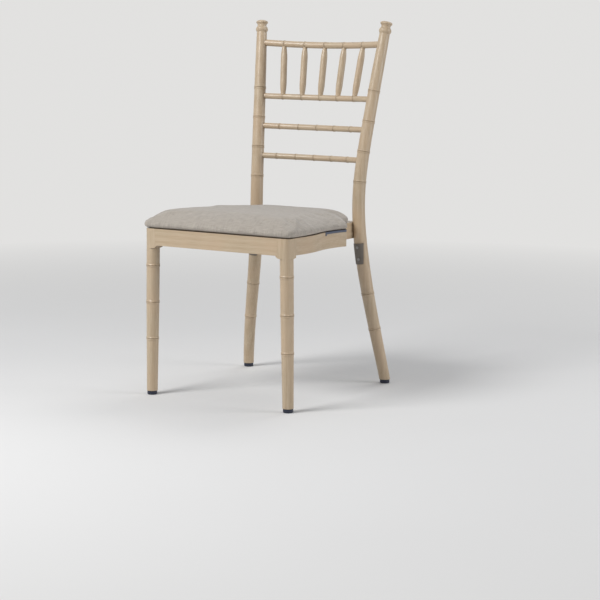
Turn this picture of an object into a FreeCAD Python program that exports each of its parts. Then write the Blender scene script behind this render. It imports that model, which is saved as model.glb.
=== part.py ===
import FreeCAD, Part
import math
import os
import Sketcher
from FreeCAD import Placement, Rotation, Vector

# A stacking chiavari chair in pale wood with a linen pad, in millimetres.
# It faces -Y, +X is its right as seen from the front, and Z is up.
# The origin is on the floor, under the middle of its bounding box.

SIZES = [
    ("overall_height", 920.0, "floor to the top of the finials"),
    ("fit_gap", 0.1, "gap around every tenon, dowel and stem"),
    # rear posts: height, half spacing and depth of the stations along the axis
    ("post_foot_spread", 211.0, "half spacing of the posts on the floor"),
    ("post_foot_depth", 212.7, "depth of the posts on the floor"),
    ("post_shin_height", 160.0, ""),
    ("post_shin_spread", 186.9, ""),
    ("post_shin_depth", 187.8, ""),
    ("post_knee_height", 320.0, ""),
    ("post_knee_spread", 163.0, ""),
    ("post_knee_depth", 171.5, ""),
    ("post_waist_height", 480.0, ""),
    ("post_waist_spread", 154.2, "half spacing where the posts are closest"),
    ("post_waist_depth", 164.8, "the foremost point of the posts"),
    ("post_lumbar_height", 640.0, ""),
    ("post_lumbar_spread", 162.9, ""),
    ("post_lumbar_depth", 186.0, ""),
    ("post_shoulder_height", 800.0, ""),
    ("post_shoulder_spread", 176.7, ""),
    ("post_shoulder_depth", 216.2, ""),
    ("post_top_spread", 187.4, "half spacing at the finials"),
    ("post_top_depth", 239.0, "depth at the finials"),
    ("post_foot_radius", 13.6, ""),
    ("post_knee_radius", 16.8, ""),
    ("post_lumbar_radius", 15.4, ""),
    ("post_shoulder_radius", 14.5, ""),
    ("finial_height", 34.0, "turned top of the post: bead, neck and cap"),
    ("finial_base_radius", 13.3, ""),
    ("finial_bead_radius", 15.8, ""),
    ("finial_neck_radius", 11.5, ""),
    ("finial_cap_radius", 15.6, ""),
    # turned rings
    ("ring_swell", 0.9, "how far a ring stands above the turning"),
    ("ring_width", 9.0, ""),
    ("groove_depth", 1.0, ""),
    ("groove_width", 1.8, ""),
    ("leg_ring_height", 142.0, "lowest ring of the legs"),
    ("leg_ring_spacing", 91.0, ""),
    ("post_ring_height", 518.0, "lowest ring of the posts above the seat"),
    ("post_ring_spacing", 75.5, ""),
    ("rail_ring_swell", 0.7, ""),
    ("rail_ring_width", 6.0, ""),
    # back rails and spindles
    ("crest_height", 861.5, ""),
    ("upper_rail_height", 724.0, ""),
    ("middle_rail_height", 647.5, ""),
    ("lower_rail_height", 571.0, ""),
    ("crest_radius", 8.3, ""),
    ("back_rail_radius", 7.4, ""),
    ("crest_bow", 19.0, "sagitta of the crest rail, towards the rear"),
    ("crest_drop", 5.0, "how far the bow lowers the middle of the crest rail"),
    ("rail_bow", 21.0, "sagitta of the three lower back rails"),
    ("rail_drop", 1.5, ""),
    ("spindle_top_pitch", 59.4, "spacing of the spindles at the crest rail"),
    ("spindle_bottom_pitch", 53.7, "spacing of the spindles at the upper back rail"),
    ("spindle_top_radius", 5.9, ""),
    ("spindle_body_radius", 8.4, ""),
    ("spindle_bottom_radius", 6.4, ""),
    # seat frame
    ("seat_height", 416.0, "top of the wooden frame"),
    ("seat_rail_height", 41.0, ""),
    ("seat_rail_thickness", 22.0, ""),
    ("front_leg_spread", 193.5, "half spacing of the front legs at the seat"),
    ("front_foot_spread", 200.0, "half spacing of the front legs on the floor"),
    ("front_leg_depth", 236.0, "the front legs stand this far in front of the origin"),
    ("leg_head_half", 16.5, "half width of the square heads of the front legs"),
    ("front_leg_top_radius", 16.3, ""),
    ("front_leg_mid_radius", 16.0, ""),
    ("front_leg_foot_radius", 13.4, ""),
    ("leg_flare_height", 3.0, "over this height a leg turns from round to square"),
    ("corner_radius", 16.0, "outer corner of the leg heads"),
    ("haunch_radius", 4.0, "round under the front rail, at the legs"),
    ("side_wave_out", 4.5, "outward bow of the front half of a side rail"),
    ("side_wave_in", 3.8, "inward bow of its rear half"),
    ("side_wave_front", 115.0, "where the outward bow ends, in front of the origin"),
    ("side_wave_rear", 28.0, "where the inward bow ends"),
    ("side_elbow_spread", 217.3, "half width at the elbows, the widest part"),
    ("side_elbow_depth", 0.0, ""),
    ("side_elbow_radius", 12.0, ""),
    ("side_waist_spread", 145.0, "half width behind the elbows, where a stacked chair passes"),
    ("side_waist_depth", 98.0, ""),
    ("side_waist_radius", 24.0, ""),
    # dowels, corner blocks and their screws
    ("dowel_radius", 4.0, ""),
    ("dowel_length", 28.0, ""),
    ("dowel_pitch", 20.0, "height between the two dowels of a joint"),
    ("block_leg", 58.0, "leg of the triangular corner blocks"),
    ("block_height", 26.0, ""),
    ("block_drop", 4.0, "the blocks sit this far below the top of the frame"),
    ("screw_radius", 2.0, ""),
    ("screw_head_radius", 4.2, ""),
    ("screw_head_height", 2.6, ""),
    ("screw_bite", 12.0, "how far the block screws reach into the frame"),
    ("board_bite", 7.0, "how far the seat screws reach into the board"),
    # seat pad
    ("dust_cover_thickness", 0.8, ""),
    ("board_thickness", 10.0, ""),
    ("board_inset", 7.0, ""),
    ("cover_thickness", 1.5, ""),
    ("pad_height", 39.5, "frame to the crown of the pad, at its middle"),
    ("pad_fall", 16.5, "how much lower the crown is at the rear than at the front"),
    ("pad_overhang", 4.5, "how far the sides of the pad stand out past the frame"),
    ("pad_corner_radius", 11.0, ""),
    ("pad_rear_radius", 56.0, "rear corners, which clear the posts"),
    ("pad_rear_margin", 2.0, "from the pad to the plane of the rear posts"),
    ("pad_pull_in", 1.6, "how far the front edge pulls in between its corners"),
    # stacking strips and wear plates
    ("strip_length", 82.0, "strip in front of the elbow"),
    ("strip_height", 5.2, ""),
    ("strip_depth", 7.0, ""),
    ("strip_proud", 0.7, ""),
    ("strip_tab_length", 6.0, ""),
    ("strip_tab_height", 3.6, ""),
    ("plate_bottom", 311.0, "lower edge of the wear plates on the rear posts"),
    ("plate_height", 52.0, ""),
    ("plate_thickness", 1.5, ""),
    ("plate_half_angle", 46.0, "degrees that a plate wraps to each side"),
    ("plate_screw_pitch", 30.0, ""),
    ("plate_screw_length", 16.0, ""),
    ("plate_screw_head_radius", 3.6, ""),
    ("plate_screw_head_height", 1.6, ""),
    # glides
    ("glide_height", 10.0, ""),
    ("glide_radius", 12.4, ""),
    ("glide_chamfer", 1.6, ""),
    ("glide_stem_radius", 3.5, ""),
    ("glide_stem_length", 18.0, ""),
]

doc = FreeCAD.newDocument("chiavari_chair")
sheet = doc.addObject("Spreadsheet::Sheet", "Sizes")


class Size:
    # A length with its value in millimetres and the expression that gives it from the sheet.
    def __init__(self, value, text):
        self.value = float(value)
        self.text = text

    def __float__(self):
        return self.value

    def __add__(self, other):
        return Size(self.value + float(other), "(%s + %s)" % (self.text, expression(other)))

    def __sub__(self, other):
        return Size(self.value - float(other), "(%s - %s)" % (self.text, expression(other)))

    def __mul__(self, other):
        return Size(self.value * float(other), "(%s * %s)" % (self.text, expression(other)))

    def __truediv__(self, other):
        return Size(self.value / float(other), "(%s / %s)" % (self.text, expression(other)))

    def __neg__(self):
        return self * -1

    def __radd__(self, other):
        return self + other

    def __rsub__(self, other):
        return self * -1 + other

    def __rmul__(self, other):
        return self * other


def expression(amount):
    return amount.text if isinstance(amount, Size) else "%.9g" % amount


class Dimensions:
    pass


size = Dimensions()
for row, (alias, amount, note) in enumerate(SIZES, start=1):
    sheet.set("A%d" % row, alias)
    sheet.set("B%d" % row, "%g" % amount)
    sheet.set("C%d" % row, note)
    sheet.setAlias("B%d" % row, alias)
    setattr(size, alias, Size(amount, "Sizes." + alias))
doc.recompute()

nodes = []
CUT_THROUGH = 200.0
EVERYWHERE = 2000.0
Z_AXIS = Vector(0, 0, 1)


def keep(obj, name):
    # The object becomes a sub-part under this name.
    obj.Label = name
    nodes.append(obj)
    return obj


def feature(name, shape):
    # A sub-part whose shape neither a sketch nor a primitive can give.
    obj = doc.addObject("Part::Feature", name + "_shape")
    obj.Shape = shape
    obj.Placement = Placement()
    return obj


# Outlines
# An outline is a list of (x, y, sagitta): the sagitta is of the arc that leaves the point,
# positive to its left, and None stands for a straight run.

def arc_middle(start, end, sagitta):
    # The middle point of the arc from start to end.
    along = end - start
    left = Vector(-along.y, along.x, 0)
    left.normalize()
    return (start + end) * 0.5 + left * sagitta


def outline_edges(corners):
    points = [Vector(float(x), float(y), 0) for x, y, bend in corners]
    edges = []
    for index, corner in enumerate(corners):
        start = points[index]
        end = points[(index + 1) % len(points)]
        if corner[2] is None:
            edges.append(Part.LineSegment(start, end))
        else:
            edges.append(Part.Arc(start, arc_middle(start, end, float(corner[2])), end))
    return points, edges


def outline_wire(corners, height):
    wire = Part.Wire([edge.toShape() for edge in outline_edges(corners)[1]])
    wire.translate(Vector(0, 0, float(height)))
    return wire


def pin_point(sketch, geometry, end, x, y):
    # The point is held at its distances from the sketch's origin, taken from the sheet.
    for kind, axis, amount in (("DistanceX", -2, x), ("DistanceY", -1, y)):
        if abs(float(amount)) < 1e-9:
            sketch.addConstraint(Sketcher.Constraint("PointOnObject", geometry, end, axis))
            continue
        index = sketch.addConstraint(Sketcher.Constraint(kind, -1, 1, geometry, end, float(amount)))
        if isinstance(amount, Size):
            sketch.setExpression("Constraints[%d]" % index, amount.text)


def draw_outline(sketch, corners):
    points, edges = outline_edges(corners)
    ends = []
    for index, edge in enumerate(edges):
        geometry = sketch.addGeometry(edge, False)
        first = 1
        if (sketch.getPoint(geometry, 1) - points[index]).Length > 1e-6:
            first = 2
        ends.append((geometry, first, 3 - first))
    for index, (geometry, first, last) in enumerate(ends):
        following = ends[(index + 1) % len(ends)]
        sketch.addConstraint(
            Sketcher.Constraint("Coincident", geometry, last, following[0], following[1])
        )
        pin_point(sketch, geometry, first, corners[index][0], corners[index][1])
        if corners[index][2] is not None:
            radius = edges[index].toShape().Curve.Radius
            sketch.addConstraint(Sketcher.Constraint("Radius", geometry, radius))


def add_sketch(body, plane, corners, offset=0.0):
    # A sketch on one of the body's own planes, moved along the plane's normal.
    sketch = body.newObject("Sketcher::SketchObject", body.Name + "_sketch")
    planes = [item for item in body.Origin.OriginFeatures if item.Role == plane]
    sketch.AttachmentSupport = [(planes[0], "")]
    sketch.MapMode = "FlatFace"
    sketch.AttachmentOffset = Placement(Vector(0, 0, float(offset)), Rotation())
    if isinstance(offset, Size):
        sketch.setExpression(".AttachmentOffset.Base.z", offset.text)
    draw_outline(sketch, corners)
    return sketch


def add_body(name):
    return doc.addObject("PartDesign::Body", name + "_body")


def pad(body, plane, corners, offset, length):
    # A sketch pulled out by a length that comes from the sheet.
    extrusion = body.newObject("PartDesign::Pad", body.Name + "_pad")
    extrusion.Profile = add_sketch(body, plane, corners, offset)
    extrusion.Length = float(length)
    if isinstance(length, Size):
        extrusion.setExpression("Length", length.text)
    return extrusion


def revolve(body, profile):
    # A turning about the body's Z axis: the profile is a list of (radius, height).
    turning = body.newObject("PartDesign::Revolution", body.Name + "_turning")
    sketch = add_sketch(body, "XZ_Plane", profile)
    turning.Profile = sketch
    turning.ReferenceAxis = (sketch, ["V_Axis"])
    turning.Angle = 360
    return turning


def cut(name, base, tools):
    # The base with bores, rebates or copes taken out.
    result = doc.addObject("Part::Cut", name + "_cut")
    result.Base = base
    result.Tool = feature(name + "_tools", Part.Compound(tools))
    return result


def rod(start, end, radius):
    along = end - start
    return Part.makeCylinder(float(radius), along.Length, start, along)


def disc(centre, normal, radius):
    # A circle square to a direction, with its seam on the same side all along a piece.
    circle = Part.makeCircle(float(radius))
    circle.Placement = Placement(centre, Rotation(Z_AXIS, normal))
    return Part.Wire([circle])


# Turned rings

def ring_profile(middle, swell, width):
    # Offsets along a turning and from its radius: a low bead with a groove in its crown.
    half = float(width) / 2
    groove = float(size.groove_width) / 2
    crest = float(swell)
    return [
        (middle - half, 0.0),
        (middle - half * 0.6, crest),
        (middle - groove, crest),
        (middle, crest - float(size.groove_depth)),
        (middle + groove, crest),
        (middle + half * 0.6, crest),
        (middle + half, 0.0),
    ]


def with_rings(stations, rings, swell, width, step):
    # Stations are (place, radius); plain sections are added between them and rings on top.
    profile = []
    for (low, low_radius), (high, high_radius) in zip(stations, stations[1:]):
        count = max(1, int(round((high - low) / step)))
        for index in range(count):
            part = index / count
            profile.append((low + (high - low) * part, low_radius + (high_radius - low_radius) * part))
    profile.append(stations[-1])

    def radius_at(place):
        for (low, low_radius), (high, high_radius) in zip(stations, stations[1:]):
            if low <= place <= high:
                part = (place - low) / (high - low)
                return low_radius + (high_radius - low_radius) * part
        return stations[-1][1]

    for ring in rings:
        beads = ring_profile(ring, swell, width)
        clear = [item for item in profile if not beads[0][0] - 1 < item[0] < beads[-1][0] + 1]
        profile = clear + [(place, radius_at(place) + extra) for place, extra in beads]
    return sorted(profile)


# Rear posts

# Distance below the top and inside the cap's edge of the point where its dome turns down.
DOME_DROP = 0.8
DOME_INSET = 6.6
shoulder_slope = math.hypot(
    float(size.post_top_depth) - float(size.post_shoulder_depth),
    float(size.post_top_spread) - float(size.post_shoulder_spread),
) / (float(size.overall_height) - float(size.post_shoulder_height))
dome_radius = float(size.finial_cap_radius) - DOME_INSET
AXIS_TOP = float(size.overall_height) + DOME_DROP - dome_radius * shoulder_slope
POST_STATIONS = [
    (0.0, size.post_foot_spread, size.post_foot_depth),
    (size.post_shin_height, size.post_shin_spread, size.post_shin_depth),
    (size.post_knee_height, size.post_knee_spread, size.post_knee_depth),
    (size.post_waist_height, size.post_waist_spread, size.post_waist_depth),
    (size.post_lumbar_height, size.post_lumbar_spread, size.post_lumbar_depth),
    (size.post_shoulder_height, size.post_shoulder_spread, size.post_shoulder_depth),
    (AXIS_TOP, size.post_top_spread, size.post_top_depth),
]
post_curve = Part.BSplineCurve()
post_curve.interpolate([Vector(float(x), float(y), float(z)) for z, x, y in POST_STATIONS])
FINIAL_BASE = AXIS_TOP - float(size.finial_height)


def on_post(side, height):
    # Point and direction of a post's axis at a height; side is -1 for left and 1 for right.
    low, high = post_curve.FirstParameter, post_curve.LastParameter
    for turn in range(60):
        middle = (low + high) / 2
        if post_curve.value(middle).z < float(height):
            low = middle
        else:
            high = middle
    point = post_curve.value(low)
    along = post_curve.tangent(low)[0]
    return Vector(side * point.x, point.y, point.z), Vector(side * along.x, along.y, along.z)


post_radii = [
    (0.0, float(size.post_foot_radius)),
    (float(size.post_knee_height), float(size.post_knee_radius)),
    (float(size.post_lumbar_height), float(size.post_lumbar_radius)),
    (float(size.post_shoulder_height), float(size.post_shoulder_radius)),
    (FINIAL_BASE, float(size.finial_base_radius)),
]


def post_radius(height):
    for (low, low_radius), (high, high_radius) in zip(post_radii, post_radii[1:]):
        if low <= float(height) <= high:
            part = (float(height) - low) / (high - low)
            return low_radius + (high_radius - low_radius) * part
    return post_radii[-1][1]


def finial_profile():
    # Sections from the groove under the bead to the domed cap, as (height, radius).
    base = float(size.finial_base_radius)
    bead = float(size.finial_bead_radius)
    neck = float(size.finial_neck_radius)
    cap = float(size.finial_cap_radius)
    below_top = [
        (33.0, base),
        (31.5, base - 0.3),
        (30.0, base + 0.3),
        (28.5, bead - 1.2),
        (26.0, bead - 0.2),
        (23.0, bead),
        (20.0, bead - 0.8),
        (17.5, neck + 1.7),
        (15.5, neck + 0.4),
        (13.5, neck),
        (11.5, neck + 0.3),
        (9.5, neck + 1.5),
        (7.5, cap - 0.6),
        (6.0, cap),
        (4.0, cap - 0.6),
        (2.2, cap - 2.4),
        (DOME_DROP, dome_radius),
        (0.0, 3.0),
    ]
    scale = float(size.finial_height) / 34.0
    return [(AXIS_TOP - drop * scale, radius) for drop, radius in below_top]


def post_loft(side, low, high, extra=0.0, finished=False):
    # A stretch of a post as a ruled loft through circles, thicker by extra.
    rings = []
    if finished:
        leg_rings = [float(size.leg_ring_height) + k * float(size.leg_ring_spacing) for k in range(2)]
        back_rings = [float(size.post_ring_height) + k * float(size.post_ring_spacing) for k in range(4)]
        rings = leg_rings + back_rings
    profile = with_rings(post_radii, rings, size.ring_swell, size.ring_width, 20.0)
    if finished:
        profile = profile + finial_profile()
    inside = [item for item in profile if low < item[0] < high]
    places = [(low, post_radius(low))] + inside
    places.append((high, post_radius(high) if not finished else profile[-1][1]))
    if finished:
        places.pop()
    wires = []
    for height, radius in places:
        centre, along = on_post(side, height)
        wires.append(disc(centre, along, radius + extra))
    return Part.makeLoft(wires, True, True)


# Back rails

PEG_END = 1.0
BORE_END = 0.4


def rail_axis(height, bow, drop):
    # A back rail's axis: a straight peg into each post and one arc between the pegs.
    left, unused = on_post(-1, height)
    right, unused = on_post(1, height)
    rearward = Vector(0, float(bow), -float(drop))
    rearward.normalize()
    peg = post_radius(height)
    chord = (right - left).Length - 2 * peg
    swing = 2 * math.atan(2 * float(bow) / chord)
    inward = Vector(math.cos(swing), 0, 0) + rearward * math.sin(swing)
    outward = Vector(-math.cos(swing), 0, 0) + rearward * math.sin(swing)
    start = left + inward * peg
    end = right + outward * peg
    middle = (start + end) * 0.5 + rearward * float(bow)
    return left, right, inward, outward, peg, Part.Arc(start, middle, end)


def rail_point(axis, x):
    # Point and direction on the rail's arc at a distance from the middle plane.
    arc = axis[5]
    low, high = arc.FirstParameter, arc.LastParameter
    flip = arc.value(low).x > arc.value(high).x
    for turn in range(60):
        middle = (low + high) / 2
        if (arc.value(middle).x < x) != flip:
            low = middle
        else:
            high = middle
    along = arc.tangent(low)[0]
    if along.x < 0:
        along = along * -1
    return arc.value(low), along


def rail_solid(axis, radius, ring_places):
    left, right, inward, outward, peg, arc = axis
    half = arc.StartPoint.x if arc.StartPoint.x > 0 else arc.EndPoint.x
    plain = float(radius)
    profile = with_rings(
        [(-half, plain), (half, plain)], ring_places, size.rail_ring_swell, size.rail_ring_width, 16.0
    )
    wires = [disc(left + inward * PEG_END, inward, plain)]
    for place, section in profile:
        point, along = rail_point(axis, place)
        wires.append(disc(point, along, section))
    wires.append(disc(right + outward * PEG_END, outward * -1, plain))
    return Part.makeLoft(wires, True, True)


def peg_bores(axis, radius):
    # The holes in both posts that take a rail's pegs.
    left, right, inward, outward, peg, arc = axis
    wide = float(radius) + float(size.fit_gap)
    reach = peg + 6.0
    return [
        rod(left + inward * BORE_END, left + inward * reach, wide),
        rod(right + outward * BORE_END, right + outward * reach, wide),
    ]


crest_axis = rail_axis(size.crest_height, size.crest_bow, size.crest_drop)
upper_axis = rail_axis(size.upper_rail_height, size.rail_bow, size.rail_drop)
middle_axis = rail_axis(size.middle_rail_height, size.rail_bow, size.rail_drop)
lower_axis = rail_axis(size.lower_rail_height, size.rail_bow, size.rail_drop)

SPINDLES = (-2, -1, 0, 1, 2)
SPINDLE_SEAT = 3.0
SPINDLE_CLEAR = 30.0
spindle_tops = [rail_point(crest_axis, k * float(size.spindle_top_pitch))[0] for k in SPINDLES]
spindle_feet = [rail_point(upper_axis, k * float(size.spindle_bottom_pitch))[0] for k in SPINDLES]


def build_back_rails():
    ring_pitch = float(size.spindle_bottom_pitch)
    rails = [
        ("crest_rail", crest_axis, size.crest_radius, float(size.spindle_top_pitch)),
        ("upper_back_rail", upper_axis, size.back_rail_radius, ring_pitch),
        ("middle_back_rail", middle_axis, size.back_rail_radius, ring_pitch),
        ("lower_back_rail", lower_axis, size.back_rail_radius, ring_pitch),
    ]
    for name, axis, radius, pitch in rails:
        solid = rail_solid(axis, radius, [k * pitch for k in SPINDLES])
        bores = []
        for top, foot in zip(spindle_tops, spindle_feet):
            along = top - foot
            along.normalize()
            gap = float(size.fit_gap)
            if name == "crest_rail":
                seat = top - along * (SPINDLE_SEAT - 0.4)
                clear = top - along * SPINDLE_CLEAR
                bores.append(rod(seat, clear, float(size.spindle_top_radius) + gap))
            if name == "upper_back_rail":
                seat = foot + along * (SPINDLE_SEAT - 0.4)
                clear = foot + along * SPINDLE_CLEAR
                bores.append(rod(seat, clear, float(size.spindle_bottom_radius) + gap))
        if bores:
            solid = solid.cut(Part.Compound(bores))
        keep(feature(name, solid), name)


def build_spindles():
    for number, (top, foot) in enumerate(zip(spindle_tops, spindle_feet), start=1):
        name = "back_spindle_%d" % number
        along = top - foot
        along.normalize()
        start = foot + along * SPINDLE_SEAT
        length = (top - foot).Length - 2 * SPINDLE_SEAT
        body = add_body(name)
        foot_end = length * 0.06
        belly_low = length * 0.30
        belly_high = length * 0.72
        top_end = length * 0.94
        sagitta = 0.7
        revolve(body, [
            (0.0, 0.0, None),
            (size.spindle_bottom_radius, 0.0, None),
            (size.spindle_bottom_radius, foot_end, -sagitta),
            (size.spindle_body_radius, belly_low, None),
            (size.spindle_body_radius, belly_high, -sagitta),
            (size.spindle_top_radius, top_end, None),
            (size.spindle_top_radius, length, None),
            (0.0, length, None),
        ])
        body.Placement = Placement(start, Rotation(Z_AXIS, along))
        keep(body, name)


# Seat frame

frame_top = size.seat_height
frame_bottom = size.seat_height - size.seat_rail_height
frame_middle = float(size.seat_height) - float(size.seat_rail_height) / 2
leg_half = size.leg_head_half
side_face = size.front_leg_spread + leg_half
front_face = -size.front_leg_depth - leg_half
head_rear = leg_half - size.front_leg_depth
post_at_seat = on_post(1, frame_middle)[0]
ELBOW_FLARE = 0.5
rear_rail_front = post_at_seat.y - float(size.seat_rail_thickness) / 2


def corner_points(before, corner, after, radius):
    # Start, end and sagitta of the arc that rounds a corner between two straight runs.
    incoming = before - corner
    outgoing = after - corner
    incoming.normalize()
    outgoing.normalize()
    half_angle = incoming.getAngle(outgoing) / 2
    reach = radius / math.tan(half_angle)
    return corner + incoming * reach, corner + outgoing * reach, radius * (1 - math.sin(half_angle))


def elbow_and_waist():
    elbow = Vector(float(size.side_elbow_spread), float(size.side_elbow_depth), 0)
    waist = Vector(float(size.side_waist_spread), float(size.side_waist_depth), 0)
    return elbow, waist


def rear_run(offset):
    # Points and bends of a side rail's outer face at its elbow and waist, moved out by offset.
    elbow, waist = elbow_and_waist()
    flare = Vector(float(side_face) + ELBOW_FLARE, -float(size.side_wave_rear), 0)
    behind = waist + Vector(0, 1, 0)
    shift = Vector(float(offset), 0, 0)
    elbow_start, elbow_end, elbow_bend = corner_points(flare, elbow, waist, float(size.side_elbow_radius))
    waist_start, waist_end, waist_bend = corner_points(elbow, waist, behind, float(size.side_waist_radius))
    return [
        (elbow_start + shift, -elbow_bend),
        (elbow_end + shift, None),
        (waist_start + shift, waist_bend),
        (waist_end + shift, None),
    ]


def side_face_corners(side, offset):
    # The outer face of a side rail from the leg to the rear rail, moved out by offset.
    face = side_face + offset
    corners = [
        (face * side, head_rear, -size.side_wave_out * side),
        (face * side, -size.side_wave_front, size.side_wave_in * side),
        ((face + ELBOW_FLARE) * side, -size.side_wave_rear, None),
    ]
    for point, bend in rear_run(offset):
        corners.append((point.x * side, point.y, None if bend is None else bend * side))
    rear = rear_rail_front - float(size.fit_gap)
    corners.append(((size.side_waist_spread + offset) * side, rear, None))
    return corners


def dowel_places():
    # Every dowel as (name, centre, direction); the pieces it joins meet at its centre.
    places = []
    low = frame_middle - float(size.dowel_pitch) / 2
    high = frame_middle + float(size.dowel_pitch) / 2
    thickness = float(size.seat_rail_thickness)
    head_inside = float(size.front_leg_spread) - float(leg_half)
    for side in (-1, 1):
        front = Vector(side * head_inside, float(front_face) + thickness / 2, 0)
        joint = Vector(side * (float(side_face) - thickness / 2), float(head_rear), 0)
        rear = Vector(side * (float(size.side_waist_spread) - thickness / 2), rear_rail_front, 0)
        for height in (low, high):
            lift = Vector(0, 0, height)
            places.append(("front_rail_dowels", front + lift, Vector(1, 0, 0)))
            places.append(("side_rail_dowels", joint + lift, Vector(0, 1, 0)))
            places.append(("side_rail_dowels", rear + lift, Vector(0, 1, 0)))
        shell = post_at_seat.x - post_radius(frame_middle)
        post_joint = Vector(side * shell, post_at_seat.y, frame_middle)
        places.append(("rear_rail_dowels", post_joint, Vector(1, 0, 0)))
    return places


def dowel_rods(gap):
    # The dowels themselves with no gap, or the bores that take them.
    half = float(size.dowel_length) / 2 + 2 * gap
    rods = []
    for name, centre, along in dowel_places():
        rods.append((name, rod(centre - along * half, centre + along * half, float(size.dowel_radius) + gap)))
    return rods


def screw(start, along, length, head_radius, head_height):
    # A pan-head wood screw: its head stands behind the start point.
    shank = float(size.screw_radius)
    tip = 2.5 * shank
    head = rod(start - along * float(head_height), start, head_radius)
    body = rod(start, start + along * (length - tip), shank)
    point = Part.makeCone(shank, 0.3, tip, start + along * (length - tip), along)
    return head.fuse([body, point])


def screw_bore(start, along, length, head_radius, head_height):
    # Clearance for the same screw, with a seat for its head.
    gap = float(size.fit_gap)
    hole = rod(start, start + along * (length + 0.5), float(size.screw_radius) + gap)
    return hole.fuse(rod(start - along * (float(head_height) + 8.0), start, float(head_radius) + 2 * gap))


SCREW_SINK = 2.0
block_low = float(size.seat_height) - float(size.block_drop) - float(size.block_height)
block_middle = block_low + float(size.block_height) / 2
frame_inside = float(side_face) - float(size.seat_rail_thickness)
front_inside = float(front_face) + float(size.seat_rail_thickness)
waist_inside = float(size.side_waist_spread) - float(size.seat_rail_thickness)


def slant_depth(x):
    # Depth at which the inner face of a side rail's slanting run has a half width.
    elbow, waist = elbow_and_waist()
    run = waist - elbow
    run.normalize()
    start = elbow + Vector(-run.y, run.x, 0) * float(size.seat_rail_thickness)
    return start.y + run.y * (x - start.x) / run.x


def block_outlines(side):
    # Plan outlines of the front and the rear corner block on one side.
    leg = float(size.block_leg)
    gap = float(size.fit_gap)
    head_inside = float(size.front_leg_spread) - float(leg_half) - gap
    head_back = float(head_rear) + gap
    front = [
        (side * head_inside, front_inside + gap),
        (side * (frame_inside - leg), front_inside + gap),
        (side * (frame_inside - gap), front_inside + leg),
        (side * (frame_inside - gap), head_back),
        (side * head_inside, head_back),
    ]
    back = rear_rail_front - gap
    corner = waist_inside - gap
    rear = [
        (side * corner, back),
        (side * (corner - leg), back),
        (side * corner, back - leg),
    ]
    return front, rear


def screw_places(side):
    # Name, start, direction and length of the screws in one side's corner blocks.
    front, rear = block_outlines(side)
    places = []
    for corners in (front, rear):
        first = Vector(corners[1][0], corners[1][1], block_middle)
        second = Vector(corners[2][0], corners[2][1], block_middle)
        corner = Vector(corners[0][0], corners[0][1], block_middle)
        across = second - first
        across.normalize()
        inward = Vector(across.y, -across.x, 0)
        if (corner - first).dot(inward) < 0:
            inward = inward * -1
        middle = (first + second) * 0.5
        if corners is front:
            head = Vector(side * (float(size.front_leg_spread) - float(leg_half)), float(head_rear), block_middle)
            start = middle + inward * SCREW_SINK
            length = (head - start).dot(inward) + float(size.screw_bite)
            places.append(("corner_block_screws", start, inward, length))
            upright = middle - across * 18.0 + inward * 8.0
        else:
            start = middle + Vector(0, 2 * SCREW_SINK, 0)
            length = rear_rail_front - start.y + float(size.screw_bite)
            places.append(("corner_block_screws", start, Vector(0, 1, 0), length))
            upright = middle + across * 18.0 + inward * 11.0
        upright.z = block_low
        reach = float(frame_top) + float(size.dust_cover_thickness) + float(size.board_bite) - block_low
        places.append(("seat_screws", upright, Z_AXIS, reach))
    return places


def block_screws(builder):
    # Every screw of the corner blocks, or its bore, as (name, shape).
    shapes = []
    for side in (-1, 1):
        for name, start, along, length in screw_places(side):
            shape = builder(start, along, length, size.screw_head_radius, size.screw_head_height)
            shapes.append((name, shape))
    return shapes


def post_envelope(side):
    # The stretch of a post beside the seat frame, with the gap around it.
    return post_loft(side, float(frame_bottom) - 30.0, float(frame_top) + 30.0, float(size.fit_gap))


def band(side, inner, outer, low, high):
    # A solid that follows the outer face of a side rail, between two offsets from it.
    corners = side_face_corners(side, outer)
    back = side_face_corners(side, inner)
    for index in range(len(back) - 1, -1, -1):
        bend = None
        if index > 0 and back[index - 1][2] is not None:
            bend = -float(back[index - 1][2])
        corners.append((back[index][0], back[index][1], bend))
    face = Part.Face(outline_wire(corners, low))
    return face.extrude(Vector(0, 0, float(high) - float(low)))


def slab(low_y, high_y):
    # Everything between two depths.
    corner = Vector(-EVERYWHERE / 2, low_y, -EVERYWHERE / 2)
    return Part.makeBox(EVERYWHERE, high_y - low_y, EVERYWHERE, corner)


def stacking_strip(side, gap, cover):
    # The strip let into the top outer edge, or its rebate: gap is the clearance round it.
    low = float(frame_top) - float(size.strip_height) - gap
    front = -float(size.strip_length) - gap
    rear = float(size.side_elbow_depth) + 3.0 + gap
    tab_rear = front + float(size.strip_tab_length) + 2 * gap
    inner = -float(size.strip_depth) - gap
    outer = float(size.strip_proud) + cover
    strip = band(side, inner, outer, low, float(frame_top) + cover).common(slab(front, rear))
    tab_low = low - float(size.strip_tab_height)
    tab = band(side, inner, outer, tab_low, low + 0.5).common(slab(front, tab_rear))
    return strip.fuse(tab).removeSplitter()


def frame_tools():
    # The dowel bores, the screw bores and the copes of the posts in the seat frame.
    gap = float(size.fit_gap)
    tools = [shape for name, shape in dowel_rods(gap)]
    return tools + [shape for name, shape in block_screws(screw_bore)]


def build_front_seat_rail():
    name = "front_seat_rail"
    body = add_body(name)
    half = size.front_leg_spread - leg_half
    haunch = size.haunch_radius
    quarter = float(haunch) * (1 - math.sqrt(0.5))
    pad(body, "XZ_Plane", [
        (-half, frame_bottom - haunch, -quarter),
        (-half + haunch, frame_bottom, None),
        (half - haunch, frame_bottom, -quarter),
        (half, frame_bottom - haunch, None),
        (half, frame_top, None),
        (-half, frame_top, None),
    ], -front_face - size.seat_rail_thickness, size.seat_rail_thickness)
    keep(cut(name, body, frame_tools()), name)


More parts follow.
